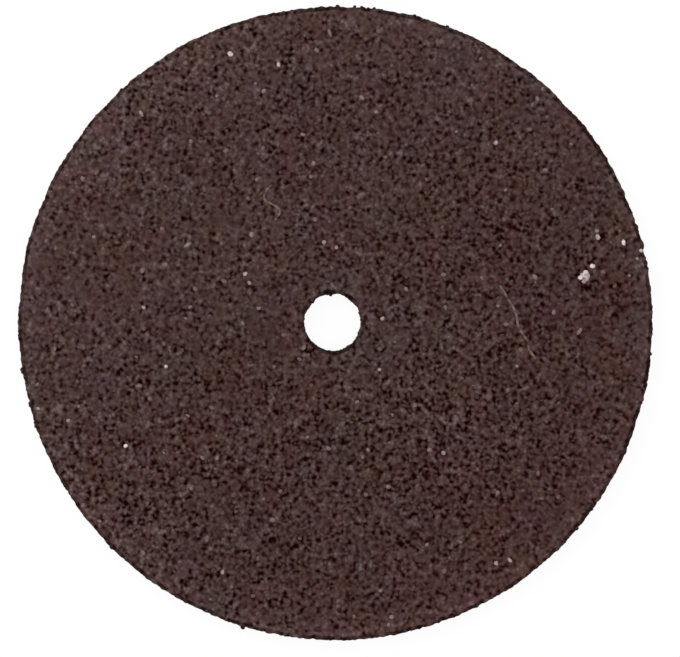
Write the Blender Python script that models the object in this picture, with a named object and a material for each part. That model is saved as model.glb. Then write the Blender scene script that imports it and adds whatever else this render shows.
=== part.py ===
"""A cut-off wheel for a small rotary tool: one thin disc pressed from abrasive grain and resin.

The wheel lies flat on the XY plane with its upper face towards +Z. The bore's axis runs
through the origin, at the underside, and the rim runs slightly out of true round it. Two flat
faces, a rim of broken grain and a ragged plain bore are the whole of it: such a small wheel
is pressed bare, with no bush in the bore, no cloth on its faces and no raised hub.
"""

import math
import random

import bmesh
import bpy
from mathutils import Matrix, Vector, noise

# The disc, in metres
WHEEL_DIAMETER = 0.0222       # 7/8 in, over the general run of the rim
WHEEL_THICKNESS = 0.00064     # 0.025 in
BORE_DIAMETER = 0.00199       # 5/64 in, for the clamping screw of a mandrel
RUN_OUT_X = 0.00011           # from the bore's axis to the middle of the rim
RUN_OUT_Y = -0.00004

# The broken edges, in metres
GRAIN_SIZE = 0.00017          # the abrasive grain that the disc is pressed from
RIM_GRAIN_STEP = 0.00008      # from the crest of a grain on the rim to the crease beside it
RIM_WANDER = 0.00004          # the slow wander of the rim, over several grains
RIM_CRUMBLE = 0.00007         # width and depth of the crumbled corner along the rim
BORE_GRAIN_STEP = 0.00005     # as on the rim, but the bore is pressed round a pin
BORE_WANDER = 0.00004
BORE_CRUMBLE = 0.00004

# Grains that stand well out of the rim, and places that have lost some, both as the direction
# in degrees from +X towards +Y and the height in metres over the rim about them
STANDING_GRAINS = (
    (69, 0.00005),
    (75, 0.00006),
    (85, 0.00004),
    (90, 0.00005),
    (132, 0.00004),
    (189, 0.00006),
    (199, 0.00005),
    (225, 0.00006),
    (253, 0.00009),
)
LOST_GRAINS = ((13, -0.00005), (184, -0.00004))
GRAIN_SEED = 7                # for how far up the wall each standing grain sits

# One grain that reaches into the bore, as its direction and height, and the side where the
# bore is pressed a little flat, as its direction, its width in degrees and its depth
BORE_TOOTH = (95, 0.00008)
BORE_FLAT = (140, 60, 0.00003)

# How finely the two edges are cut into facets
RIM_FACETS = 720
BORE_FACETS = 108
RIM_WALL_ROWS = 3             # bands of facets up the rim, between its crumbled corners
CUTTER_MARGIN = 0.0002        # how far the bore's cutter runs past each face

ABRASIVE_COLOUR = (0.0612, 0.0331, 0.0307)
ABRASIVE_ROUGHNESS = 0.9


def clear_scene():
    """Remove every object, so that the script starts from nothing in any file."""
    for leftover in list(bpy.data.objects):
        bpy.data.objects.remove(leftover, do_unlink=True)


def new_collection(name):
    """A new collection, linked to the scene."""
    collection = bpy.data.collections.new(name)
    bpy.context.scene.collection.children.link(collection)
    return collection


def abrasive_material():
    """Dark brown grain in resin: dull all over, with no metal in it."""
    material = bpy.data.materials.new("pressed brown abrasive")
    material.use_nodes = True
    shader = material.node_tree.nodes["Principled BSDF"]
    shader.inputs["Base Color"].default_value = (*ABRASIVE_COLOUR, 1)
    shader.inputs["Roughness"].default_value = ABRASIVE_ROUGHNESS
    shader.inputs["Metallic"].default_value = 0
    material.diffuse_color = (*ABRASIVE_COLOUR, 1)
    return material


def evenly(first, last, steps):
    """The heights from first to last, in so many equal steps."""
    return [first + (last - first) * step / steps for step in range(steps + 1)]


def banded_cylinder(radius, heights, facets):
    """A closed cylinder round the Z axis that has a ring of points at each of the heights."""
    solid = bmesh.new()
    bottom = heights[0]
    top = heights[-1]
    bmesh.ops.create_cone(
        solid,
        cap_ends=True,
        segments=facets,
        radius1=radius,
        radius2=radius,
        depth=top - bottom,
        matrix=Matrix.Translation((0, 0, (top + bottom) / 2)),
    )
    for height in heights[1:-1]:
        bmesh.ops.bisect_plane(
            solid,
            geom=solid.verts[:] + solid.edges[:] + solid.faces[:],
            dist=1e-7,
            plane_co=(0, 0, height),
            plane_no=(0, 0, 1),
        )
    return solid


def grain_relief(place, step, wander):
    """How far a broken wall stands out at a place, in metres.

    Each cell of a Voronoi pattern is a grain: its middle stands out, and the creases between
    cells lie back by the step. The crests that show in the outline come to about nought. A
    slower noise, six grains long, adds the wander of the edge.
    """
    distances, _ = noise.voronoi(place / GRAIN_SIZE)
    crest = 0.35 - distances[0]
    return step * crest + wander * noise.noise(place / (6 * GRAIN_SIZE))


def corner_depth(crumble):
    """How far a crumbled corner reaches into the wall: a quarter of the thickness at most."""
    return min(crumble, WHEEL_THICKNESS / 4)


def lobe(angle, degrees, reach):
    """One in a direction, falling to nought over the reach to each side, in radians."""
    off = abs((angle - math.radians(degrees) + math.pi) % (2 * math.pi) - math.pi)
    return max(0.0, 1 - off / reach)


def grain_in_wall(place, radius, degrees, level):
    """One at the middle of a single grain in a round wall, falling to nought beside it."""
    angle = math.atan2(place.y, place.x)
    up_the_wall = max(0.0, 1 - abs(place.z - level) / GRAIN_SIZE)
    return up_the_wall * lobe(angle, degrees, GRAIN_SIZE / radius)


def move_out(point, amount):
    """Move a point straight away from the Z axis by the amount, keeping its height."""
    outward = Vector((point.co.x, point.co.y, 0)).normalized()
    point.co += outward * amount


def crumble_rim(solid, wall):
    """Turn the smooth wall of the blank into broken grain with crumbled corners.

    Every point moves straight out or in, so the two faces stay flat and the wall never folds.
    A grain that stands out sits at one of the wall's heights. A lost one opens the rim right
    through.
    """
    radius = WHEEL_DIAMETER / 2
    chance = random.Random(GRAIN_SEED)
    standing = [(degrees, chance.choice(wall), height) for degrees, height in STANDING_GRAINS]
    for point in solid.verts:
        angle = math.atan2(point.co.y, point.co.x)
        relief = grain_relief(point.co, RIM_GRAIN_STEP, RIM_WANDER)
        for degrees, level, height in standing:
            relief += height * grain_in_wall(point.co, radius, degrees, level)
        for degrees, height in LOST_GRAINS:
            relief += height * lobe(angle, degrees, GRAIN_SIZE / radius)
        on_a_face = not wall[0] / 2 < point.co.z < WHEEL_THICKNESS - wall[0] / 2
        move_out(point, relief - RIM_CRUMBLE if on_a_face else relief)


def pressed_blank(collection):
    """The disc before the bore: flat on both faces, ragged all along its rim."""
    corner = corner_depth(RIM_CRUMBLE)
    wall = evenly(corner, WHEEL_THICKNESS - corner, RIM_WALL_ROWS)
    solid = banded_cylinder(WHEEL_DIAMETER / 2, [0, *wall, WHEEL_THICKNESS], RIM_FACETS)
    crumble_rim(solid, wall)
    bmesh.ops.translate(solid, verts=solid.verts, vec=(RUN_OUT_X, RUN_OUT_Y, 0))
    return finished_object("cut_off_wheel", solid, collection)


def bore_cutter(collection):
    """What the bore leaves out: a ragged pin, wider where it meets the two faces.

    One grain bites into it half way up, and it is a little flat on one side.
    """
    radius = BORE_DIAMETER / 2
    corner = corner_depth(BORE_CRUMBLE)
    wall = evenly(corner, WHEEL_THICKNESS - corner, 2)
    ends = (-CUTTER_MARGIN, WHEEL_THICKNESS + CUTTER_MARGIN)
    solid = banded_cylinder(radius, [ends[0], *wall, ends[1]], BORE_FACETS)
    flare = BORE_CRUMBLE * (1 + CUTTER_MARGIN / corner)
    tooth_direction, tooth_height = BORE_TOOTH
    flat_direction, flat_width, flat_depth = BORE_FLAT
    for point in solid.verts:
        angle = math.atan2(point.co.y, point.co.x)
        relief = -grain_relief(point.co, BORE_GRAIN_STEP, BORE_WANDER)
        relief -= tooth_height * grain_in_wall(point.co, radius, tooth_direction, wall[1])
        relief -= flat_depth * lobe(angle, flat_direction, math.radians(flat_width / 2))
        past_a_face = not 0 < point.co.z < WHEEL_THICKNESS
        move_out(point, relief + flare if past_a_face else relief)
    cutter = finished_object("bore_cutter", solid, collection)
    cutter.hide_render = True
    cutter.display_type = "WIRE"
    return cutter


def finished_object(name, solid, collection):
    """Turn a bmesh into an object of that name in the collection, smooth where it is round."""
    mesh = bpy.data.meshes.new(name)
    solid.to_mesh(mesh)
    solid.free()
    mesh.shade_smooth()
    mesh.set_sharp_from_angle(angle=math.radians(35))
    new_object = bpy.data.objects.new(name, mesh)
    collection.objects.link(new_object)
    return new_object


def cut_off_wheel():
    """The whole wheel: the pressed blank, with its bore taken out of it."""
    wheel = pressed_blank(new_collection("cut off wheel"))
    wheel.data.materials.append(abrasive_material())
    bore = wheel.modifiers.new("bore", "BOOLEAN")
    bore.operation = "DIFFERENCE"
    bore.solver = "EXACT"
    bore.object = bore_cutter(new_collection("cutters"))
    return wheel


clear_scene()
cut_off_wheel()
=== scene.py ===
import math

import bmesh
import bpy
import numpy as np
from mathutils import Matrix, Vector


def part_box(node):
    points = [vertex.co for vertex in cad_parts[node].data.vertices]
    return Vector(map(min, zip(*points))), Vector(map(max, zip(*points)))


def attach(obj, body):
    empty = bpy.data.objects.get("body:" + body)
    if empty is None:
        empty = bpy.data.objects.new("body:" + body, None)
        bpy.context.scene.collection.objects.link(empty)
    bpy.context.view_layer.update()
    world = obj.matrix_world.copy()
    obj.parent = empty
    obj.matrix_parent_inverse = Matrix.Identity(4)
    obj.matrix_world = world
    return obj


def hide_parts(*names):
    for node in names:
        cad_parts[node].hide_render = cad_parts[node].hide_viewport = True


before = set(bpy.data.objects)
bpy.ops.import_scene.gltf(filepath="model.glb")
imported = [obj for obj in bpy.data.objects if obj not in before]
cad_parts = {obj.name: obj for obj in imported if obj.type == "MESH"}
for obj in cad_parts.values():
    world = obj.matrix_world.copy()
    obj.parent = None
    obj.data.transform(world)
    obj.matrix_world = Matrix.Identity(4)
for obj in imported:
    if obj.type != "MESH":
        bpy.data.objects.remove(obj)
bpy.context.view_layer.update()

MM = 0.001
WHEEL = "cut_off_wheel"

# The wheel in the frame. The bore's axis is the origin, and the rim runs out of true round it.
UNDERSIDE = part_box(WHEEL)[0].z
UPPER_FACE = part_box(WHEEL)[1].z
RIM_MIDDLE = np.array((0.11, -0.04)) * MM
RIM_RADIUS = 11.1 * MM
BORE_RADIUS = 0.995 * MM
BORE_REACH = 2 * MM           # every point nearer to the axis than this is on the bore
RIM_CORNER = 0.07 * MM        # width and depth of the crumbled corner along the rim
BORE_CORNER = 0.04 * MM

# The photograph's frame: its size, and the middle of the rim in it, counted from pixel middles
PHOTO_WIDTH = 680
PHOTO_HEIGHT = 657
RIM_MIDDLE_PIXEL = (335.0, 322.85)
PIXEL = 0.03497 * MM          # what one pixel spans on the upper face

# Pale chips and grains that the photograph shows one by one: pixel, length and width in pixels,
# turn in degrees, and how pale, from 0 for the brown of the resin to 1 for white alumina
PALE_CHIPS = (
    (586.0, 276.3, 10.8, 7.8, 67, 0.7),
    (583.7, 281.0, 5.2, 4.2, 30, 0.52),
    (582.2, 274.6, 5.6, 4.4, 45, 0.9),
    (580.2, 277.2, 5.2, 4.8, 0, 0.97),
    (585.3, 272.0, 5.4, 4.8, 0, 1.0),
    (583.5, 278.0, 3.2, 2.8, 40, 0.34),
    (592.0, 265.8, 5.8, 4.6, 0, 1.0),
    (597.2, 236.5, 6.2, 4.6, 110, 0.66),
    (596.6, 230.4, 4.0, 3.6, 0, 0.48),
    (623.2, 241.9, 6.6, 4.2, 100, 1.0),
    (640.8, 250.2, 4.2, 3.6, 0, 0.8),
    (636.9, 258.2, 4.0, 3.4, 135, 0.42),
    (628.8, 275.0, 3.6, 3.2, 0, 0.3),
    (230.1, 53.5, 6.5, 5.3, 110, 0.85),
    (278.1, 63.9, 6.0, 3.8, 97, 0.76),
    (140.5, 112.8, 7.6, 3.8, 118, 0.48),
    (125.3, 445.3, 4.6, 4.0, 45, 1.0),
    (165.5, 366.0, 4.2, 3.8, 0, 0.76),
    (244.8, 273.5, 5.6, 4.2, 38, 0.68),
    (249.3, 282.4, 4.8, 3.8, 122, 0.47),
    (495.5, 142.2, 4.8, 4.2, 35, 0.62),
    (509.5, 559.8, 6.2, 3.6, 132, 0.68),
    (495.6, 562.8, 4.8, 4.0, 148, 0.64),
    (143.1, 306.9, 4.2, 3.6, 135, 0.63),
    (382.0, 318.0, 4.2, 4.0, 0, 0.62),
    (67.7, 419.9, 4.4, 3.6, 20, 0.52),
    (379.0, 369.0, 4.0, 4.0, 0, 0.58),
    (37.7, 408.1, 4.4, 3.6, 160, 0.56),
    (323.4, 241.5, 4.6, 4.0, 108, 0.5),
    (336.1, 247.1, 4.2, 3.6, 45, 0.54),
    (222.1, 571.6, 4.8, 3.8, 75, 0.52),
    (443.0, 452.6, 5.2, 4.2, 135, 0.52),
    (186.6, 244.4, 8.8, 3.6, 35, 0.4),
    (251.2, 233.9, 6.4, 4.8, 100, 0.4),
    (579.0, 331.0, 8.6, 3.6, 54, 0.35),
    (329.3, 32.6, 8.6, 3.0, 110, 0.32),
)

# Deep pits beside them, sunk into the relief and darkened with painted shade: pixel and radius in
# pixels
DEEP_PITS = (
    (601.5, 236.3, 2.4), (605.0, 232.1, 2.2), (598.6, 265.9, 2.6), (576.3, 262.7, 2.4),
    (575.3, 273.0, 2.6), (579.5, 270.5, 2.0), (586.2, 285.8, 3.0), (579.1, 282.3, 2.0),
    (625.4, 249.5, 2.6), (641.3, 255.0, 2.2), (632.1, 274.2, 2.4), (610.4, 285.7, 2.4),
    (619.3, 286.3, 2.8), (616.8, 303.8, 1.9), (619.3, 306.7, 1.9), (621.8, 309.4, 1.9),
    (614.2, 313.8, 2.6), (325.8, 32.2, 2.2), (335.0, 34.4, 2.6), (276.5, 173.0, 1.9),
    (279.8, 170.5, 2.0), (283.5, 168.0, 2.2), (286.0, 182.5, 2.2), (294.0, 190.3, 2.4),
)

# Broken grains that stand out of the rim and into the bore: the direction in degrees from +X
# towards +Y, how far each stands past the general run of the edge, and its width, both in pixels
RIM_GRAINS = (
    (14, 1.0, 4.5), (38, 1.3, 4.5), (69.3, 1.5, 5.0), (75.6, 2.0, 4.5), (81.6, 1.0, 3.6),
    (83.0, 1.6, 4.0), (84.1, 0.9, 3.6), (85.3, 1.9, 3.8), (86.5, 1.7, 3.6), (89.6, 2.0, 4.6),
    (132.5, 1.5, 5.0), (182.2, 1.2, 4.5), (188.5, 1.2, 9.0), (194.9, 0.7, 9.0),
    (198.6, 0.8, 9.0), (225.1, 1.5, 7.0), (253.0, 2.8, 5.5), (319.6, 1.2, 5.0),
    (324.0, 1.2, 5.0), (354.5, 1.0, 4.5),
)
BORE_GRAINS = (
    (18, 0.8, 4.5), (93.6, 2.5, 4.5), (133.8, 1.6, 5.0), (151, 0.9, 4.5), (338, 1.1, 5.0),
)

# Where the bore has worn wider or stayed narrower than it was pressed: the direction in degrees,
# how much wider in pixels, and how far to each side it reaches in degrees
BORE_WEAR = (
    (75, 1.0, 14), (120, 0.45, 24), (163, 0.5, 12), (190, -0.6, 8), (243, -0.45, 16),
    (308, -0.4, 13),
)

# Where the grain is coarser and more broken than elsewhere, or smoother: pixel, reach in pixels,
# and how much stronger its light and dark are there, as a share
ROUGH_PLACES = (
    (104, 523, 90, 0.24), (437, 421, 66, 0.26), (630, 314, 80, -0.18), (281, 319, 34, -0.3),
    (75, 261, 66, -0.18), (166, 68, 48, 0.25), (417, 28, 90, -0.14), (224, 204, 28, -0.28),
    (563, 527, 48, -0.2), (220, 454, 24, 0.28), (589, 152, 66, -0.14), (323, 455, 66, 0.12),
    (187, 306, 66, -0.11),
)

# Two stray pale fibres pressed into the upper face: thickness, and pixels along each
FIBRES = (
    (0.096 * MM, (
        (499.4, 284.4), (501.8, 288.8), (504.5, 293.4), (509.7, 302.0), (513.7, 308.9),
        (516.3, 316.3), (517.4, 323.8), (519.7, 329.0), (524.3, 336.4), (528.1, 342.2),
        (528.9, 349.1), (533.8, 356.5), (535.7, 357.9))),
    (0.085 * MM, (
        (271.3, 184.2), (265.7, 190.0), (263.7, 195.4), (265.0, 200.3), (270.4, 202.8),
        (275.7, 206.1), (279.7, 210.1), (278.0, 214.6), (274.0, 220.0))),
)


def linear(hex_colour):
    """An sRGB hex colour as linear red, green, blue and alpha."""
    parts = [int(hex_colour[k:k + 2], 16) / 255 for k in (1, 3, 5)]
    return [p / 12.92 if p <= 0.04045 else ((p + 0.055) / 1.055) ** 2.4 for p in parts] + [1.0]


def add(tree, kind, sockets=None, stops=(), **settings):
    """Add a node with its settings and links, and with the stops of a colour ramp.

    A socket is given a value, or another node's output to link. Each stop is a position on the
    ramp and a hex colour, and the lowest comes first.
    """
    node = tree.nodes.new(kind)
    for name, value in settings.items():
        setattr(node, name, value)
    for name, value in (sockets or {}).items():
        if isinstance(value, bpy.types.NodeSocket):
            tree.links.new(value, node.inputs[name])
        else:
            node.inputs[name].default_value = value
    if stops:
        elements = node.color_ramp.elements
        elements.remove(elements[1])
        for position, colour in stops[1:]:
            elements.new(position).color = linear(colour)
        elements[0].position, elements[0].color = stops[0][0], linear(stops[0][1])
    return node


def on_upper_face(pixels):
    """The places on the upper face that the photograph shows at these pixels."""
    off = np.asarray(pixels, float)[:, :2] - RIM_MIDDLE_PIXEL
    flat = RIM_MIDDLE + off * (PIXEL, -PIXEL)
    return np.concatenate([flat, np.full((len(flat), 1), UPPER_FACE)], 1)


# The pressed grain: one pattern for the relief and for the colour. Its lengths here are in
# millimetres, and its noises in waves to the millimetre.
PIT_SPACING = 0.206           # from one pit to the next: a grain and the resin beside it
PIT_BLEND = 0.3               # how far neighbouring pits run into one
GRAIN_SPACING = 0.14          # from the top of one grain to the next
UNEVEN_WAVES = 6.5            # 0.15 mm, the width of a grain
BEND_WAVES = 3.5              # 0.29 mm, wider than a pit, so that it bends the pit as a whole
BEND_REACH = 0.12             # how far a place is pushed aside
PATCH_WAVES = 1.6             # 0.6 mm, the size of a rougher or smoother patch
PATTERN_SHIFT = (7.3, 2.9, 5.1)   # parts the finer patterns from the coarser one
PIT_WEIGHT = 0.88             # what the level gains one spacing away from a pit's middle
GRAIN_WEIGHT = -0.72          # and one spacing away from the top of a grain
UNEVEN_WEIGHT = 0.27          # and where the noise between them is one
PATTERN_BALANCE = -0.239      # brings the mean of the three to nought
EVEN_STRENGTH = 0.02          # how strong light and dark are where the noise of patches is nought
PATCH_STRENGTH = 1.9          # and how much stronger where it is one
ROUGH_EDGE = 1.8              # a rough place fades out at this many times its reach
MIDDLE_LEVEL = 0.5            # the mean, which stays the same whatever the strength


def grain_level(tree, place):
    """How light the pressed grain is at a place in millimetres: about 0.5, less in a pit.

    Pits are the spots round the feature points of one Voronoi pattern, and the tops of grains
    those of a finer one. Noise of a grain's width makes them uneven, and a slower noise makes
    the whole stronger in some patches than in others, as a rough place does, less and less
    away from its middle. A noise bends the place first, so that pits come out oblong and run
    together here and there.
    """
    patches = add(tree, "ShaderNodeTexNoise",
                  {"Vector": place, "Scale": PATCH_WAVES, "Detail": 1.0})
    strength = add(tree, "ShaderNodeMath",
                   {0: patches.outputs[0], 1: PATCH_STRENGTH, 2: EVEN_STRENGTH},
                   operation="MULTIPLY_ADD")
    middles = on_upper_face(ROUGH_PLACES) / MM
    for middle, (_, _, reach, stronger) in zip(middles, ROUGH_PLACES):
        away = add(tree, "ShaderNodeVectorMath", {0: place, 1: middle}, operation="DISTANCE")
        rough = add(tree, "ShaderNodeMapRange",
                    {"Value": away.outputs["Value"], "From Min": 0.0,
                     "From Max": ROUGH_EDGE * reach * PIXEL / MM,
                     "To Min": stronger, "To Max": 0.0},
                    interpolation_type="SMOOTHSTEP")
        strength = add(tree, "ShaderNodeMath", {0: strength.outputs[0], 1: rough.outputs[0]},
                       operation="ADD")
    bend = add(tree, "ShaderNodeTexNoise", {"Vector": place, "Scale": BEND_WAVES, "Detail": 0.0})
    bent = add(tree, "ShaderNodeVectorMath",
               {0: bend.outputs["Color"], 1: (BEND_REACH, BEND_REACH, BEND_REACH), 2: place},
               operation="MULTIPLY_ADD")
    shifted = add(tree, "ShaderNodeVectorMath", {0: bent.outputs[0], 1: PATTERN_SHIFT},
                  operation="ADD")
    pits = add(tree, "ShaderNodeTexVoronoi",
               {"Vector": bent.outputs[0], "Scale": 1 / PIT_SPACING, "Smoothness": PIT_BLEND},
               feature="SMOOTH_F1")
    tops = add(tree, "ShaderNodeTexVoronoi",
               {"Vector": shifted.outputs[0], "Scale": 1 / GRAIN_SPACING})
    uneven = add(tree, "ShaderNodeTexNoise",
                 {"Vector": shifted.outputs[0], "Scale": UNEVEN_WAVES, "Detail": 0.0})
    level = PATTERN_BALANCE
    for pattern, weight in ((pits.outputs["Distance"], PIT_WEIGHT),
                            (tops.outputs["Distance"], GRAIN_WEIGHT),
                            (uneven.outputs[0], UNEVEN_WEIGHT)):
        level = add(tree, "ShaderNodeMath", {0: pattern, 1: weight, 2: level},
                    operation="MULTIPLY_ADD").outputs[0]
    return add(tree, "ShaderNodeMath", {0: level, 1: strength.outputs[0], 2: MIDDLE_LEVEL},
               operation="MULTIPLY_ADD").outputs[0]


def level_at(surface):
    """The grain's level at each point of a mesh.

    A short-lived geometry tree works the pattern out at the points where the disc was pressed
    flat, so that the relief and the colour, which reads the same places, fall together.
    """
    tree = bpy.data.node_groups.new("level of the grain", "GeometryNodeTree")
    tree.interface.new_socket("Surface", in_out="INPUT", socket_type="NodeSocketGeometry")
    tree.interface.new_socket("Surface", in_out="OUTPUT", socket_type="NodeSocketGeometry")
    given = add(tree, "NodeGroupInput")
    position = add(tree, "GeometryNodeInputPosition")
    place = add(tree, "ShaderNodeVectorMath", {0: position.outputs[0], "Scale": 1 / MM},
                operation="SCALE")
    stored = add(tree, "GeometryNodeStoreNamedAttribute",
                 {"Geometry": given.outputs[0], "Name": "level",
                  "Value": grain_level(tree, place.outputs[0])},
                 data_type="FLOAT", domain="POINT")
    add(tree, "NodeGroupOutput", {0: stored.outputs[0]})
    sampler = bpy.data.objects.new("sampler", surface)
    bpy.context.scene.collection.objects.link(sampler)
    sampler.modifiers.new("level", "NODES").node_group = tree
    worked = sampler.evaluated_get(bpy.context.evaluated_depsgraph_get())
    level = np.empty(len(surface.vertices), np.float32)
    worked.data.attributes["level"].data.foreach_get("value", level)
    bpy.data.objects.remove(sampler)
    bpy.data.node_groups.remove(tree)
    return level.astype(float)


# The disc: how finely it is divided
RIM_POINTS = 1200             # 0.058 mm apart along the rim
BORE_POINTS = 180             # 0.035 mm apart round the bore
UPPER_SPACING = 0.083 * MM    # between points on the face that shows
UNDER_SPACING = 0.16 * MM
ROW_SHARE = 0.866             # of the spacing, from ring to ring: the height of an even triangle
WALL_ROWS = 7                 # up the rim between its corners
BORE_ROWS = 6
CORNER_ROWS = 3
SAME_HEIGHT = 0.001 * MM      # points of the CAD model within this are in one row

# Its relief, pressed into the faces and broken into the edges
PIT_DEPTH = 0.034 * MM        # of the deepest pit in a face
PIT_BRIM = 0.55               # the level at which a pit starts to sink
PIT_FLOOR = 0.05              # and the level at which it has its whole depth
DEEP_PIT_DROP = 0.5           # how much lower the level is in the middle of a deep pit
HIGHEST_LEVEL = 0.9           # of a grain in a wall, where the deepest crease is at nought
WALL_RELIEF = 0.050 * MM      # how far a wall stands out for each unit of the level
BORE_RELIEF = 0.070 * MM      # the same for the bore, whose grain is rougher
CREST = 0.012 * MM            # how far a grain may stand proud of a face
UNDER_CREST = 0.005 * MM      # the underside rests on grains that stand this far out of it
BORE_EDGE = 0.02 * MM         # the bore's corner counts as this much wider, so that the painted shade along it reaches further in


def points_of(node):
    """The different points of a CAD node, one row each, rounded to a hundredth of a micron."""
    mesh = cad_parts[node].data
    places = np.empty(len(mesh.vertices) * 3, np.float32)
    mesh.vertices.foreach_get("co", places)
    return np.unique(places.reshape(-1, 3).round(8).astype(float), axis=0)


def rows_of_wall(points, middle):
    """A ragged wall's rows of CAD points: each row's height, to a micron, its angles and radii."""
    off = points[:, :2] - middle
    radius = np.hypot(off[:, 0], off[:, 1])
    angle = np.arctan2(off[:, 1], off[:, 0])
    rows = []
    for height in np.unique(points[:, 2].round(6)):
        on_row = np.abs(points[:, 2] - height) < SAME_HEIGHT
        order = np.argsort(angle[on_row])
        rows.append((height, angle[on_row][order], radius[on_row][order]))
    return rows


def radius_at(rows, height, angles):
    """The wall's radius at a height and the angles, on the lines between the CAD's points."""
    above = 1
    while above < len(rows) - 1 and rows[above][0] < height:
        above += 1
    (low_height, *low_row), (high_height, *high_row) = rows[above - 1:above + 1]
    low = np.interp(angles, *low_row, period=2 * np.pi)
    high = np.interp(angles, *high_row, period=2 * np.pi)
    share = (height - low_height) / (high_height - low_height)
    return low * (1 - share) + high * share


def bore_wear_at(angles):
    """How much wider the bore is at these angles: the sum of a bell curve for each worn place."""
    middle, wider, reach = np.array(BORE_WEAR).T
    off = (angles[:, None] - np.radians(middle) + np.pi) % (2 * np.pi) - np.pi
    return (wider * PIXEL * np.exp(-(off / np.radians(reach)) ** 2)).sum(1)


def stitch(counts):
    """The triangles between closed rings of points, from each to the next, the last to the first.

    Every other ring is turned by half a step. A front goes once round each pair of rings and
    moves on, on one ring or the other, wherever it passes half way between two of its points.
    """
    starts = np.concatenate([[0], np.cumsum(counts)])
    triangles = []
    for ring in range(len(counts)):
        following = (ring + 1) % len(counts)
        n, m = counts[ring], counts[following]
        halfway = [(np.arange(count) + 0.5 + 0.5 * (k % 2)) / count
                   for count, k in ((n, ring), (m, following))]
        order = np.argsort(np.concatenate(halfway), kind="stable")
        here = order < n
        i = np.cumsum(here) - here
        j = np.cumsum(~here) - ~here
        third = np.where(here, starts[ring] + (i + 1) % n, starts[following] + (j + 1) % m)
        triangles.append(np.stack([starts[ring] + i % n, starts[following] + j % m, third], 1))
    return np.concatenate(triangles)


def disc_surface():
    """The rings of the disc: the points, the way out of the surface, how far each point is from
    the nearest corner along the section, and the count of each ring.

    The section is a closed line: out across the upper face, down the rim, in across the
    underside and up the bore. Each ring lies part way between the bore's outline and the
    rim's, at its own height. A corner of the rim is a quarter round from the face to the wall.
    """
    solid = points_of(WHEEL)
    from_axis = np.hypot(solid[:, 0], solid[:, 1])
    bore = rows_of_wall(solid[from_axis < BORE_REACH], (0, 0))
    rim = rows_of_wall(solid[from_axis > BORE_REACH], RIM_MIDDLE)
    rings = []

    def add_ring(count, height, share, tilt, from_corner, corner=0.0):
        """A ring at a height, whose way out of the surface leans by the tilt from straight up.

        Each point mixes the bore's outline and the rim's in its direction, by the share. On a
        corner the rim's radius eases from the face's to the wall's by the corner's share.
        """
        angles = (np.arange(count) + 0.5 * (len(rings) % 2)) * 2 * np.pi / count
        outer = radius_at(rim, height, angles)
        if corner:
            above = height > (UPPER_FACE + UNDERSIDE) / 2
            face = UPPER_FACE if above else UNDERSIDE
            wall = UPPER_FACE - RIM_CORNER if above else UNDERSIDE + RIM_CORNER
            outer = (radius_at(rim, face, angles) * (1 - corner)
                     + radius_at(rim, wall, angles) * corner)
        inner = radius_at(bore, height, angles) + bore_wear_at(angles)
        direction = np.stack([np.cos(angles), np.sin(angles)], 1)
        bore_place = direction * inner[:, None]
        rim_place = RIM_MIDDLE + direction * outer[:, None]
        flat = bore_place * (1 - share) + rim_place * share
        level = np.full((count, 1), height)
        upward = np.full((count, 1), math.cos(tilt))
        rings.append((np.concatenate([flat, level], 1),
                      np.concatenate([direction * math.sin(tilt), upward], 1),
                      np.full(count, from_corner)))

    def add_face(height, spacing, tilt, outwards):
        """The rings of a face, evenly spaced, with a finer one at the bore and at the rim."""
        inner = bore[0][2].mean()
        outer = RIM_RADIUS - RIM_CORNER
        radii = np.linspace(inner, outer, int((outer - inner) / (spacing * ROW_SHARE)) + 1)
        counts = (2 * np.pi * radii / spacing).astype(int)
        counts[0] = BORE_POINTS
        counts[-1] = RIM_POINTS
        for k in (range(len(radii)) if outwards else reversed(range(len(radii)))):
            add_ring(counts[k], height, (radii[k] - inner) / (outer - inner), tilt,
                     min(radii[k] - inner - BORE_EDGE, outer - radii[k]))

    add_face(UPPER_FACE, UPPER_SPACING, 0.0, True)
    for step in range(1, CORNER_ROWS):
        turn = math.pi / 2 * step / CORNER_ROWS
        height = UPPER_FACE - RIM_CORNER * (1 - math.cos(turn))
        add_ring(RIM_POINTS, height, 1.0, turn, 0.0, math.sin(turn))
    wall = np.linspace(UPPER_FACE - RIM_CORNER, UNDERSIDE + RIM_CORNER, WALL_ROWS)
    for height in wall:
        add_ring(RIM_POINTS, height, 1.0, math.pi / 2, min(wall[0] - height, height - wall[-1]))
    for step in range(CORNER_ROWS - 1, 0, -1):
        turn = math.pi / 2 * step / CORNER_ROWS
        height = UNDERSIDE + RIM_CORNER * (1 - math.cos(turn))
        add_ring(RIM_POINTS, height, 1.0, math.pi - turn, 0.0, math.sin(turn))
    add_face(UNDERSIDE + UNDER_CREST, UNDER_SPACING, math.pi, False)
    wall = np.linspace(UNDERSIDE + BORE_CORNER, UPPER_FACE - BORE_CORNER, BORE_ROWS)
    for height in wall:
        add_ring(BORE_POINTS, height, 0.0, -math.pi / 2, min(height - wall[0], wall[-1] - height))
    places, outward, from_corner = [np.concatenate(part) for part in zip(*rings)]
    return places, outward, from_corner, np.array([len(ring[0]) for ring in rings])


def mesh_of(name, places, triangles, smooth=True):
    """A mesh of these points and triangles."""
    mesh = bpy.data.meshes.new(name)
    mesh.vertices.add(len(places))
    mesh.vertices.foreach_set("co", np.asarray(places, np.float32).ravel())
    mesh.loops.add(triangles.size)
    mesh.loops.foreach_set("vertex_index", np.asarray(triangles, np.int32).ravel())
    mesh.polygons.add(len(triangles))
    mesh.polygons.foreach_set("loop_start", np.arange(len(triangles), dtype=np.int32) * 3)
    mesh.update(calc_edges=True)
    mesh.validate()
    if smooth:
        mesh.shade_smooth()
    return mesh


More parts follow.
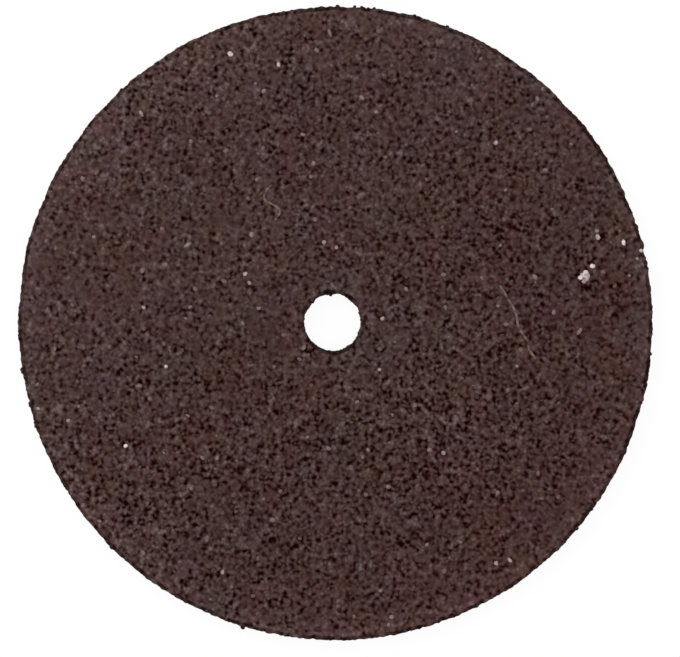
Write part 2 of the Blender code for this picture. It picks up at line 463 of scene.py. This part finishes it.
def piece_of(mesh, material):
    """A finished piece: the mesh with its material, as an object at the origin."""
    mesh.materials.append(material)
    piece = bpy.data.objects.new(mesh.name, mesh)
    bpy.context.scene.collection.objects.link(piece)
    return piece


def keep(mesh, name, values):
    """Store one number for each point of a mesh, for its material to read."""
    stored = mesh.attributes.new(name, "FLOAT", "POINT")
    stored.data.foreach_set("value", values.astype(np.float32))


def deep_pits_at(places):
    """One in the middle of each deep pit, falling to nought round it as a bell curve does."""
    middles = on_upper_face(DEEP_PITS)
    reach = np.array([pit[2] for pit in DEEP_PITS]) * PIXEL
    near = np.abs(places[:, 2] - UPPER_FACE) < RIM_CORNER
    off = places[near, None, :2] - middles[None, :, :2]
    depth = np.zeros(len(places))
    depth[near] = np.exp(-(off ** 2).sum(2) / reach ** 2).sum(1)
    return np.minimum(depth, 1.0)


def pressed_disc(material):
    """The whole disc, with pits sunk into its flat faces and grain broken into its edges.

    On a face the relief goes from nought at the level of a pit's brim to its whole depth at
    that of its floor, easing at both ends, so the face between pits stays flat. On a wall it
    stands out or back in proportion to the level, and by more in the bore.
    """
    places, outward, from_corner, counts = disc_surface()
    mesh = mesh_of("pressed_disc", places, stitch(counts))
    sunk = deep_pits_at(places)
    level = level_at(mesh) - DEEP_PIT_DROP * sunk
    share = np.clip((PIT_BRIM - level) / (PIT_BRIM - PIT_FLOOR), 0, 1)
    pit = -PIT_DEPTH * share * share * (3 - 2 * share)
    in_bore = np.hypot(places[:, 0], places[:, 1]) < BORE_REACH
    stands_out = np.clip(level, 0, HIGHEST_LEVEL) - HIGHEST_LEVEL / 2
    grain = np.where(in_bore, BORE_RELIEF, WALL_RELIEF) * stands_out
    flat = np.abs(outward[:, 2])
    relief = pit * flat + grain * (1 - flat)
    pressed_flat = mesh.attributes.new("pressed_flat", "FLOAT_VECTOR", "POINT")
    pressed_flat.data.foreach_set("vector", places.astype(np.float32).ravel())
    keep(mesh, "from_corner", from_corner / MM)
    keep(mesh, "sunk", sunk)
    raised = places + outward * relief[:, None]
    mesh.vertices.foreach_set("co", raised.astype(np.float32).ravel())
    mesh.update()
    return piece_of(mesh, material)


# Single grains: each is a crystal whose points lie near an oval of the grain's length and width
CRYSTAL_REACH = (0.8, 1.15)   # how far chance draws a point in or out, as a share of the oval
CRYSTAL_THICKNESS = 0.8       # as a share of its width
FOOT_TONE = 0.67              # how pale a grain's foot is, as a share of its top
CHIP_SIZE = 1.18              # the oval is this much longer and wider than the chip that shows
LOWEST_CHIP = 0.5             # how proud the first chip stands, as a share of the last
CHIP_SEED = 3
EDGE_SINK = 0.3               # how far its middle lies under its top, as a share of its width
EDGE_HEIGHT = 1.4             # how far it reaches up the wall, as a share of its width
EDGE_SHADE_TONE = 0.02              # painted shade, nearly as dark as that along the broken corners
EDGE_SEED = 7

# The duller grains that are scattered by chance
GRAINS_ON_FACES = 1900
GRAINS_ON_RIM = 260
UPPER_SHARE = 0.6             # of those on the faces
NEAREST_GRAIN = 1.15 * MM     # from the rim's middle, so that none hangs over the bore
RIM_CLEARANCE = 0.1 * MM      # between the rim and the middle of a grain on a face
RIM_SINK = 0.02 * MM          # how deep the middle of a grain on the rim lies
GRAIN_CLEARANCE = 0.24 * MM   # between the middles of two grains
GRAIN_WIDTH = (0.13, 0.2)     # the least and the most, in millimetres
GRAIN_LENGTH = (1.0, 1.5)     # as a share of the width
GRAIN_CREST = (-0.2, 0.8)     # how proud it stands, as a share of the most that it may
DULLEST_GRAIN = 0.09          # the tone of the dullest, and how much the palest adds to it
PALER_GRAIN = 0.28
PALE_POWER = 6                # the higher, the fewer grains are pale
SPREAD_SEED = 11
GRAIN_SEED = 5

# The fibres
FIBRE_SIDES = 8
FIBRE_STEPS = 6               # along the line, from one of its points to the next
FIBRE_TAPER = 20              # each end tapers over about a twentieth of half the length
FIBRE_TIP = 0.1               # how thick the tip is, as a share of the whole thickness
FIBRE_SINK = 0.004 * MM       # how deep its middle is pressed in


def crystals(name, middles, out, turns, lengths, widths, tones, crests, seed, material):
    """Angular grains half sunk in the surface, each a rough twenty-sided crystal.

    Each point of a crystal is its middle, plus the point of a regular icosahedron, turned by
    chance and drawn out or in, and scaled to the grain's length, width and thickness along its
    own three axes. What would stand out of the middle by more than the grain's crest is
    pressed flat. The tone falls by a third from the top of a grain to its foot.
    """
    ball = bmesh.new()
    bmesh.ops.create_icosphere(ball, subdivisions=1, radius=1.0)
    shape = np.array([v.co[:] for v in ball.verts])
    faces = np.array([[v.index for v in f.verts] for f in ball.faces])
    ball.free()
    chance = np.random.default_rng(seed)
    count = len(middles)
    spin = chance.normal(size=(count, 4))
    w, x, y, z = (spin / np.linalg.norm(spin, axis=1, keepdims=True)).T
    turned = np.stack([
        np.stack([1 - 2 * (y * y + z * z), 2 * (x * y - z * w), 2 * (x * z + y * w)], 1),
        np.stack([2 * (x * y + z * w), 1 - 2 * (x * x + z * z), 2 * (y * z - x * w)], 1),
        np.stack([2 * (x * z - y * w), 2 * (y * z + x * w), 1 - 2 * (x * x + y * y)], 1)], 1)
    drawn = chance.uniform(*CRYSTAL_REACH, (count, len(shape), 1))
    points = np.einsum("nij,kj->nki", turned, shape) * drawn
    up = np.where(np.abs(out[:, 2:]) > 0.5, (1.0, 0.0, 0.0), (0.0, 0.0, 1.0))
    across = np.cross(out, up)
    across /= np.linalg.norm(across, axis=1, keepdims=True)
    along = np.cross(across, out)
    long_axis = along * np.cos(turns)[:, None] + across * np.sin(turns)[:, None]
    wide_axis = np.cross(out, long_axis)
    thickness = CRYSTAL_THICKNESS * widths
    high = np.minimum(points[:, :, 2] * thickness[:, None] / 2, crests[:, None])
    places = (middles[:, None]
              + long_axis[:, None] * (points[:, :, :1] * lengths[:, None, None] / 2)
              + wide_axis[:, None] * (points[:, :, 1:2] * widths[:, None, None] / 2)
              + out[:, None] * high[:, :, None])
    places = places.reshape(-1, 3)
    places[:, 2] = np.clip(places[:, 2], UNDERSIDE, UPPER_FACE + CREST)
    triangles = (faces[None] + np.arange(count)[:, None, None] * len(shape)).reshape(-1, 3)
    mesh = mesh_of(name, places, triangles, smooth=False)
    top_share = np.clip(points[:, :, 2], 0, 1)
    keep(mesh, "tone", (tones[:, None] * (FOOT_TONE + (1 - FOOT_TONE) * top_share)).ravel())
    return piece_of(mesh, material)


def pale_chips(material):
    """The chips and pale grains that the photograph shows one by one.

    Each is a crystal at its pixel's place on the upper face. The crests rise evenly from the
    first to the last, so that later ones lie on earlier ones.
    """
    rows = np.array(PALE_CHIPS)
    out = np.tile((0.0, 0.0, 1.0), (len(rows), 1))
    return crystals("pale_chips", on_upper_face(rows), out, np.radians(rows[:, 4]),
                    rows[:, 2] * CHIP_SIZE * PIXEL, rows[:, 3] * CHIP_SIZE * PIXEL, rows[:, 5],
                    CREST * np.linspace(LOWEST_CHIP, 1, len(rows)), CHIP_SEED, material)


def edge_grains(material):
    """The broken grains that stand out of the rim and into the bore, half way up the wall.

    The middle of each lies in its direction on the edge's circle, moved out of the wall by how
    far the grain stands past the edge, less a share of its width.
    """
    middles = []
    outward = []
    widths = []
    for table, radius, middle, side in ((RIM_GRAINS, RIM_RADIUS, RIM_MIDDLE, 1),
                                        (BORE_GRAINS, BORE_RADIUS, np.zeros(2), -1)):
        angle, past, width = np.array(table).T
        direction = np.stack([np.cos(np.radians(angle)), np.sin(np.radians(angle))], 1)
        reach = radius + side * (past - EDGE_SINK * width) * PIXEL
        level = np.full((len(table), 1), (UNDERSIDE + UPPER_FACE) / 2)
        middles.append(np.concatenate([middle + direction * reach[:, None], level], 1))
        outward.append(np.concatenate([direction * side, level * 0], 1))
        widths.append(width * PIXEL)
    middles, outward, widths = [np.concatenate(part) for part in (middles, outward, widths)]
    # The edge grains are painted nearly black, as painted shade along the rim and the bore.
    return crystals("edge_grains", middles, outward, np.zeros(len(widths)),
                    widths * EDGE_HEIGHT, widths, np.full(len(widths), EDGE_SHADE_TONE),
                    widths, EDGE_SEED, material)


def scattered_grains(material):
    """Duller grains scattered over both faces and the rim, by seeded chance.

    On the faces they are spread evenly by area, and on the rim evenly round it and up it, each
    clear of the ones before it. Most are barely lighter than the resin, and a few are pale.
    """
    chance = np.random.default_rng(SPREAD_SEED)
    reach = np.sqrt(chance.uniform(NEAREST_GRAIN ** 2, (RIM_RADIUS - RIM_CLEARANCE) ** 2,
                                   GRAINS_ON_FACES))
    angle = chance.uniform(0, 2 * np.pi, GRAINS_ON_FACES)
    upper = chance.uniform(size=GRAINS_ON_FACES) < UPPER_SHARE
    level = np.where(upper, UPPER_FACE, UNDERSIDE)
    faces = np.stack([RIM_MIDDLE[0] + reach * np.cos(angle),
                      RIM_MIDDLE[1] + reach * np.sin(angle), level], 1)
    faces_out = np.where(upper, 1.0, -1.0)[:, None] * (0.0, 0.0, 1.0)
    angle = chance.uniform(0, 2 * np.pi, GRAINS_ON_RIM)
    direction = np.stack([np.cos(angle), np.sin(angle), np.zeros(GRAINS_ON_RIM)], 1)
    rim = direction * (RIM_RADIUS - RIM_SINK)
    rim[:, :2] += RIM_MIDDLE
    rim[:, 2] = chance.uniform(UNDERSIDE + RIM_CORNER, UPPER_FACE - RIM_CORNER, GRAINS_ON_RIM)
    middles = np.concatenate([faces, rim])
    out = np.concatenate([faces_out, direction])
    taken = np.concatenate([on_upper_face(PALE_CHIPS), middles])
    near = np.linalg.norm(middles[:, None] - taken[None], axis=2) < GRAIN_CLEARANCE
    clear = ~np.any(np.tril(near, len(PALE_CHIPS) - 1), axis=1)
    middles, out = middles[clear], out[clear]
    count = len(middles)
    widths = chance.uniform(*GRAIN_WIDTH, count) * MM
    lengths = widths * chance.uniform(*GRAIN_LENGTH, count)
    tones = DULLEST_GRAIN + PALER_GRAIN * chance.uniform(size=count) ** PALE_POWER
    crests = CREST * chance.uniform(*GRAIN_CREST, count)
    turns = chance.uniform(0, np.pi, count)
    return crystals("scattered_grains", middles, out, turns, lengths, widths, tones, crests,
                    GRAIN_SEED, material)


def pale_fibres(material):
    """Stray fibres pressed half into the upper face.

    A fibre is a round profile carried along a line through its points, and it tapers to a point
    at both ends. Between points the line follows a cubic that passes through them smoothly.
    """
    side = np.arange(FIBRE_SIDES)
    after = (side + 1) % FIBRE_SIDES
    turn = side * 2 * np.pi / FIBRE_SIDES
    all_places = []
    all_triangles = []
    start = 0
    for thickness, pixels in FIBRES:
        points = on_upper_face(pixels)
        ends = np.concatenate([[2 * points[0] - points[1]], points,
                               [2 * points[-1] - points[-2]]])
        t = (np.arange(FIBRE_STEPS) / FIBRE_STEPS)[None, :, None]
        a, b, c, d = [ends[k:len(ends) - 3 + k][:, None] for k in range(4)]
        line = 0.5 * (2 * b + (c - a) * t + (2 * a - 5 * b + 4 * c - d) * t ** 2
                      + (3 * b - a - 3 * c + d) * t ** 3)
        line = np.concatenate([line.reshape(-1, 3), points[-1:]])
        count = len(line)
        forward = np.gradient(line, axis=0)
        forward /= np.linalg.norm(forward, axis=1, keepdims=True)
        sideways = np.stack([-forward[:, 1], forward[:, 0], np.zeros(count)], 1)
        from_end = 1 - np.abs(np.linspace(-1, 1, count))
        radius = thickness / 2 * np.clip(from_end * FIBRE_TAPER + FIBRE_TIP, 0, 1)
        profile = sideways[:, None] * np.cos(turn)[None, :, None]
        profile[:, :, 2] += np.sin(turn)[None]
        places = line[:, None] + profile * radius[:, None, None]
        places[:, :, 2] = np.minimum(places[:, :, 2] - FIBRE_SINK, UPPER_FACE + CREST)
        ring = start + np.arange(count - 1)[:, None] * FIBRE_SIDES
        quads = np.stack([ring + side, ring + after, ring + FIBRE_SIDES + after,
                          ring + FIBRE_SIDES + side], 2).reshape(-1, 4)
        last = start + (count - 1) * FIBRE_SIDES
        first_tip = np.full(FIBRE_SIDES, start + count * FIBRE_SIDES)
        last_tip = first_tip + 1
        all_triangles += [quads[:, [0, 1, 2]], quads[:, [0, 2, 3]],
                          np.stack([first_tip, start + after, start + side], 1),
                          np.stack([last_tip, last + side, last + after], 1)]
        all_places += [places.reshape(-1, 3), line[[0, -1]]]
        start += count * FIBRE_SIDES + 2
    mesh = mesh_of("pale_fibres", np.concatenate(all_places), np.concatenate(all_triangles))
    return piece_of(mesh, material)


# Materials. Colours, each with its place on a ramp from dark to light:
# The darkest browns, near nought, are painted shade in the pits; the rest is the resin's and the
# grain's own brown.
RESIN_BROWNS = (
    (0.0, "#120101"), (0.14, "#290F0D"), (0.26, "#321D1B"), (0.38, "#3E2B29"), (0.5, "#463330"),
    (0.62, "#4F3C3A"), (0.74, "#554240"), (0.86, "#5C4947"), (1.0, "#6C5957"),
)
ALUMINA_TONES = (
    (0.0, "#2A251F"), (0.08, "#4B3835"), (0.21, "#6E5A57"), (0.6, "#AA9996"), (1.0, "#EEDEDA"),
)
FIBRE_TONES = ((0.36, "#473633"), (0.64, "#77655F"))
# The near-black brown of the painted shade along the broken corners
CORNER_SHADE_BROWN = "#1E1917"
PAPER_WHITE = "#E6E6E6"

# What the resin's brown varies by. Places are in millimetres, noises in waves to the millimetre,
# and rises are those of the level on the ramp of browns.
# Painted shade along the rim and bore corners, in patches:
CORNER_SHADE_EDGE = (0.05, 0.08)      # painted shade is whole up to the first of these from a corner
CORNER_SHADE_WAVES = 2.6              # 0.4 mm, the patches that the painted shade lies in
CORNER_SHADE_PATCHES = (0.32, 0.54)   # where its noise goes from no painted shade to full
CORNER_SHADE_DROP = 0.28
CORNER_SHADE_COVER = 0.47             # how much of the brown the painted shade hides
RUBBED_EDGE = (0.1, 0.6)      # the face is rubbed lighter from a corner inwards
RUBBED_RISE = 0.1
PAINTED_LIGHT_SLOPE = (-0.0036, 0.0027, 0.0)   # painted light: a rise for each millimetre towards the upper left, where the lamp stands
DISH_DROP = 0.00028           # for each square millimetre from the middle
OUTER_RING = (60.0, 115.0)    # square millimetres from the middle: from 7.7 to 10.7 mm
OUTER_RISE = 0.065
CLOUD_WAVES = 0.3             # 3.3 mm, slow clouds of lighter and darker resin
CLOUD_RISE = 0.065            # to either side

# How far its colour leans, as what the brown is multiplied by
LEAN_WAVES = 0.8              # 1.25 mm, the blotches where the resin took more or less heat
LEAN_STRENGTH = 0.285
LEAN_BLUE = 0.46              # blue follows a noise of its own as well
LEAN_LEAST = (1.1425, 0.8875, 0.6575)  # where the noises are nought
RED_SIDE = (0.7, -0.7, 0.0)   # the disc leans to red towards the lower right,
RED_EDGE = (4.5, 9.5)         # from so far along that way
RED_LEAN = -0.05

FINE_RELIEF = 0.03 * MM       # of the bump between the points of the mesh
FINE_STRENGTH = 0.15
CLOUD_ON_GRAIN = 11 / MM      # 0.09 mm, half of a grain
CLOUD_STRENGTH = 0.9
DUST_ON_FIBRE = 5 / MM        # 0.2 mm along a fibre
PAPER_LIT = 0.08              # how white the paper that the camera sees is where lamps light it,
PAPER_GLOW = 0.93             # and how white it is besides, of itself


def new_material(name, roughness, specular):
    """A material with its node tree and its Principled shader."""
    material = bpy.data.materials.new(name)
    material.use_nodes = True
    shader = material.node_tree.nodes["Principled BSDF"]
    shader.inputs["Roughness"].default_value = roughness
    shader.inputs["Specular IOR Level"].default_value = specular
    return material, material.node_tree, shader


def corner_shade_on(tree, place, from_corner):
    """How much painted shade lies at a place, from 0 to 1: along the corners, in patches."""
    near = add(tree, "ShaderNodeMapRange",
               {"Value": from_corner, "From Min": CORNER_SHADE_EDGE[0], "From Max": CORNER_SHADE_EDGE[1],
                "To Min": 1.0, "To Max": 0.0},
               interpolation_type="SMOOTHSTEP")
    noise = add(tree, "ShaderNodeTexNoise",
                {"Vector": place, "Scale": CORNER_SHADE_WAVES, "Detail": 1.0})
    patchy = add(tree, "ShaderNodeMapRange",
                 {"Value": noise.outputs[0], "From Min": CORNER_SHADE_PATCHES[0],
                  "From Max": CORNER_SHADE_PATCHES[1]})
    return add(tree, "ShaderNodeMath", {0: near.outputs[0], 1: patchy.outputs[0]},
               operation="MULTIPLY").outputs[0]


def brown_level(tree, place, grain, corner_shade, from_corner):
    """Where a place lies on the ramp of browns: the grain's level, and what adds to it.

    Painted shade along the corners and in deep pits lowers it. It rises along the corners,
    where the face is rubbed, and evenly towards the upper left as painted light. It falls with
    the square of the distance from the middle, and rises again near the rim. Slow clouds move
    it either way.
    """
    # Deep pits lower the brown as painted shade.
    sunk = add(tree, "ShaderNodeAttribute", attribute_name="sunk")
    rubbed = add(tree, "ShaderNodeMapRange",
                 {"Value": from_corner, "From Min": RUBBED_EDGE[0], "From Max": RUBBED_EDGE[1],
                  "To Min": RUBBED_RISE, "To Max": 0.0})
    # Painted light: lighter towards the upper left, where the lamp stands.
    painted_light = add(tree, "ShaderNodeVectorMath", {0: place, 1: PAINTED_LIGHT_SLOPE},
                 operation="DOT_PRODUCT")
    square = add(tree, "ShaderNodeVectorMath", {0: place, 1: place}, operation="DOT_PRODUCT")
    outer = add(tree, "ShaderNodeMapRange",
                {"Value": square.outputs["Value"], "From Min": OUTER_RING[0],
                 "From Max": OUTER_RING[1], "To Min": 0.0, "To Max": OUTER_RISE})
    noise = add(tree, "ShaderNodeTexNoise",
                {"Vector": place, "Scale": CLOUD_WAVES, "Detail": 1.0})
    clouds = add(tree, "ShaderNodeMath",
                 {0: noise.outputs[0], 1: 2 * CLOUD_RISE, 2: -CLOUD_RISE},
                 operation="MULTIPLY_ADD")
    level = grain
    for part, weight in ((corner_shade, -CORNER_SHADE_DROP), (sunk.outputs["Fac"], -DEEP_PIT_DROP),
                         (rubbed.outputs[0], 1.0), (painted_light.outputs["Value"], 1.0),
                         (square.outputs["Value"], -DISH_DROP), (outer.outputs[0], 1.0),
                         (clouds.outputs[0], 1.0)):
        level = add(tree, "ShaderNodeMath", {0: part, 1: weight, 2: level},
                    operation="MULTIPLY_ADD").outputs[0]
    return level


def lean_of_colour(tree, place):
    """What the brown is multiplied by at a place: it leans to red here and to olive there.

    Red falls with a slow noise as much as green and blue rise with it, and blue rises with a
    second noise. Towards the lower right the first noise counts for less, so it leans to red.
    """
    noise = add(tree, "ShaderNodeTexNoise",
                {"Vector": place, "Scale": LEAN_WAVES, "Detail": 2.0})
    along = add(tree, "ShaderNodeVectorMath", {0: place, 1: RED_SIDE}, operation="DOT_PRODUCT")
    redder = add(tree, "ShaderNodeMapRange",
                 {"Value": along.outputs["Value"], "From Min": RED_EDGE[0],
                  "From Max": RED_EDGE[1], "To Min": 0.0, "To Max": RED_LEAN})
    lean = add(tree, "ShaderNodeMath",
               {0: noise.outputs["Fac"], 1: LEAN_STRENGTH, 2: redder.outputs[0]},
               operation="MULTIPLY_ADD")
    olive = add(tree, "ShaderNodeVectorMath",
                {0: lean.outputs[0], 1: (-1.0, 1.0, 1.0), 2: LEAN_LEAST},
                operation="MULTIPLY_ADD")
    return add(tree, "ShaderNodeVectorMath",
               {0: noise.outputs["Color"], 1: (0.0, 0.0, LEAN_BLUE), 2: olive.outputs[0]},
               operation="MULTIPLY_ADD").outputs[0]


def pressed_abrasive():
    """Brown fused alumina grain in brown phenolic resin, hot pressed and left bare.

    The resin and the worn tops of the grain make a dull, even brown. Pits where grain or resin
    is missing are painted nearly black, as painted shade for the light that goes in and doesn't
    come out, and so are the broken corners, in patches of painted shade. The resin took the heat
    unevenly, so its brown leans to red here and to olive there.
    """
    material, tree, shader = new_material("hot pressed brown alumina and phenolic resin",
                                          roughness=0.9, specular=0.03)
    flat = add(tree, "ShaderNodeAttribute", attribute_name="pressed_flat")
    place = add(tree, "ShaderNodeVectorMath", {0: flat.outputs["Vector"], "Scale": 1 / MM},
                operation="SCALE").outputs[0]
    from_corner = add(tree, "ShaderNodeAttribute", attribute_name="from_corner").outputs["Fac"]
    # The grain's level gives the resin and the grain their own tones, and paints shade into the
    # pits.
    grain = grain_level(tree, place)
    corner_shade = corner_shade_on(tree, place, from_corner)
    brown = add(tree, "ShaderNodeValToRGB",
                {"Fac": brown_level(tree, place, grain, corner_shade, from_corner)}, RESIN_BROWNS)
    tinted = add(tree, "ShaderNodeVectorMath",
                 {0: brown.outputs["Color"], 1: lean_of_colour(tree, place)},
                 operation="MULTIPLY")
    # The corners' painted shade covers part of the brown.
    cover = add(tree, "ShaderNodeMath", {0: corner_shade, 1: CORNER_SHADE_COVER}, operation="MULTIPLY")
    shaded_brown = add(tree, "ShaderNodeMix",
                 {"Factor": cover.outputs[0], 6: tinted.outputs[0], 7: linear(CORNER_SHADE_BROWN)},
                 data_type="RGBA")
    tree.links.new(shaded_brown.outputs[2], shader.inputs["Base Color"])
    bump = add(tree, "ShaderNodeBump",
               {"Height": grain, "Strength": FINE_STRENGTH, "Distance": FINE_RELIEF})
    tree.links.new(bump.outputs[0], shader.inputs["Normal"])
    return material


def alumina_grain():
    """Single grains of fused alumina: glassy when broken, from dusty brown to white.

    Their facets catch the light a little more sharply than the resin. The tone stored on each
    grain says how pale it is, and a fine cloud keeps the larger ones from looking painted.
    """
    material, tree, shader = new_material("fused alumina grain", roughness=0.7, specular=0.06)
    tone = add(tree, "ShaderNodeAttribute", attribute_name="tone").outputs["Fac"]
    place = add(tree, "ShaderNodeTexCoord").outputs["Object"]
    cloud = add(tree, "ShaderNodeTexNoise",
                {"Vector": place, "Scale": CLOUD_ON_GRAIN, "Detail": 2.0})
    centred = add(tree, "ShaderNodeMath", {0: cloud.outputs[0], 1: 0.5}, operation="SUBTRACT")
    clouded = add(tree, "ShaderNodeMath", {0: centred.outputs[0], 1: CLOUD_STRENGTH, 2: 1.0},
                  operation="MULTIPLY_ADD")
    level = add(tree, "ShaderNodeMath", {0: clouded.outputs[0], 1: tone}, operation="MULTIPLY")
    colour = add(tree, "ShaderNodeValToRGB", {"Fac": level.outputs[0]}, ALUMINA_TONES)
    tree.links.new(colour.outputs["Color"], shader.inputs["Base Color"])
    return material


def stray_fibre():
    """Stray glass fibre, pressed in with the grain.

    It is a little glossier than the resin, but the dust on it leaves it dull, and paler than the
    face only here and there along its length.
    """
    material, tree, shader = new_material("dusty glass fibre", roughness=0.7, specular=0.1)
    place = add(tree, "ShaderNodeTexCoord").outputs["Object"]
    dust = add(tree, "ShaderNodeTexNoise",
               {"Vector": place, "Scale": DUST_ON_FIBRE, "Detail": 1.0})
    colour = add(tree, "ShaderNodeValToRGB", {"Fac": dust.outputs[0]}, FIBRE_TONES)
    tree.links.new(colour.outputs["Color"], shader.inputs["Base Color"])
    return material


def is_seen(tree):
    """One for a ray from the camera, a mirror image or a view through glass, otherwise nought."""
    rays = add(tree, "ShaderNodeLightPath")
    either = add(tree, "ShaderNodeMath",
                 {0: rays.outputs["Is Camera Ray"], 1: rays.outputs["Is Glossy Ray"]},
                 operation="MAXIMUM")
    return add(tree, "ShaderNodeMath",
               {0: either.outputs[0], 1: rays.outputs["Is Transmission Ray"]},
               operation="MAXIMUM").outputs[0]


def white_paper():
    """White paper: the camera sees it as pure white, apart from the faint shadow that lies on it.

    To the camera, to reflections and through glass, a twelfth of it is lit by the lamps and the
    rest is white of itself. The wheel's underside and rim get the light of plain white paper.
    """
    material, tree, shader = new_material("white paper", roughness=1.0, specular=0.0)
    shader.inputs["Base Color"].default_value = linear(PAPER_WHITE)
    lit = add(tree, "ShaderNodeBsdfDiffuse", {"Color": (PAPER_LIT, PAPER_LIT, PAPER_LIT, 1)})
    glow = add(tree, "ShaderNodeEmission", {"Color": (1, 1, 1, 1), "Strength": PAPER_GLOW})
    seen = add(tree, "ShaderNodeAddShader", {0: lit.outputs[0], 1: glow.outputs[0]})
    both = add(tree, "ShaderNodeMixShader",
               {0: is_seen(tree), 1: shader.outputs[0], 2: seen.outputs[0]})
    tree.links.new(both.outputs[0], tree.nodes["Material Output"].inputs["Surface"])
    return material


# The stage
PAPER_HALF = 300 * MM         # from the middle of the paper to its edge
FLOOR_GAP = 0.002 * MM        # keeps the paper clear of the flats that the wheel rests on
SURROUND_STRENGTH = 0.78
LAMP_SIZE = 120 * MM
LAMP_WATTS = 0.17
LAMP_PLACE = Vector((-120, 120, 160)) * MM
CAMERA_DISTANCE = 160 * MM    # from the upper face
SENSOR_WIDTH = 36             # in millimetres, as Blender takes it


def floor():
    """A sheet of white paper under the wheel."""
    corners = np.array([(-1, -1, 0), (1, -1, 0), (1, 1, 0), (-1, 1, 0)]) * PAPER_HALF
    corners = corners + (0, 0, UNDERSIDE - FLOOR_GAP)
    piece_of(mesh_of("floor", corners, np.array([(0, 1, 2), (0, 2, 3)])), white_paper())


def lights():
    """A white surround, and one large soft lamp from the upper left, as the photograph has."""
    world = bpy.data.worlds.new("white studio")
    bpy.context.scene.world = world
    world.use_nodes = True
    tree = world.node_tree
    surround = tree.nodes["Background"]
    surround.inputs["Color"].default_value = (1, 1, 1, 1)
    surround.inputs["Strength"].default_value = SURROUND_STRENGTH
    white = add(tree, "ShaderNodeBackground", {"Color": (1, 1, 1, 1), "Strength": 1.0})
    seen = add(tree, "ShaderNodeMixShader",
               {0: is_seen(tree), 1: surround.outputs[0], 2: white.outputs[0]})
    tree.links.new(seen.outputs[0], tree.nodes["World Output"].inputs["Surface"])

    lamp_data = bpy.data.lights.new("soft lamp", "AREA")
    lamp_data.shape = "DISK"
    lamp_data.size = LAMP_SIZE
    lamp_data.energy = LAMP_WATTS
    lamp = bpy.data.objects.new("soft lamp", lamp_data)
    lamp.location = LAMP_PLACE
    lamp.rotation_euler = (-LAMP_PLACE).to_track_quat("-Z", "Y").to_euler()
    bpy.context.scene.collection.objects.link(lamp)


def camera():
    """Straight down on the wheel with a long lens, moved sideways to put the rim in its place."""
    data = bpy.data.cameras.new("camera")
    data.sensor_width = SENSOR_WIDTH
    data.lens = SENSOR_WIDTH * CAMERA_DISTANCE / (PHOTO_WIDTH * PIXEL)
    data.clip_start = 5 * MM
    data.clip_end = 5000 * MM
    lens = bpy.data.objects.new("camera", data)
    across = ((PHOTO_WIDTH - 1) / 2 - RIM_MIDDLE_PIXEL[0]) * PIXEL
    up = (RIM_MIDDLE_PIXEL[1] - (PHOTO_HEIGHT - 1) / 2) * PIXEL
    lens.location = (RIM_MIDDLE[0] + across, RIM_MIDDLE[1] + up, UPPER_FACE + CAMERA_DISTANCE)
    bpy.context.scene.collection.objects.link(lens)
    bpy.context.scene.camera = lens


bpy.context.scene.view_settings.view_transform = "Standard"
camera()
lights()
floor()

grain = alumina_grain()
disc = pressed_disc(pressed_abrasive())
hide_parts(WHEEL)
for piece in (disc, pale_chips(grain), edge_grains(grain), scattered_grains(grain),
              pale_fibres(stray_fibre())):
    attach(piece, "root")
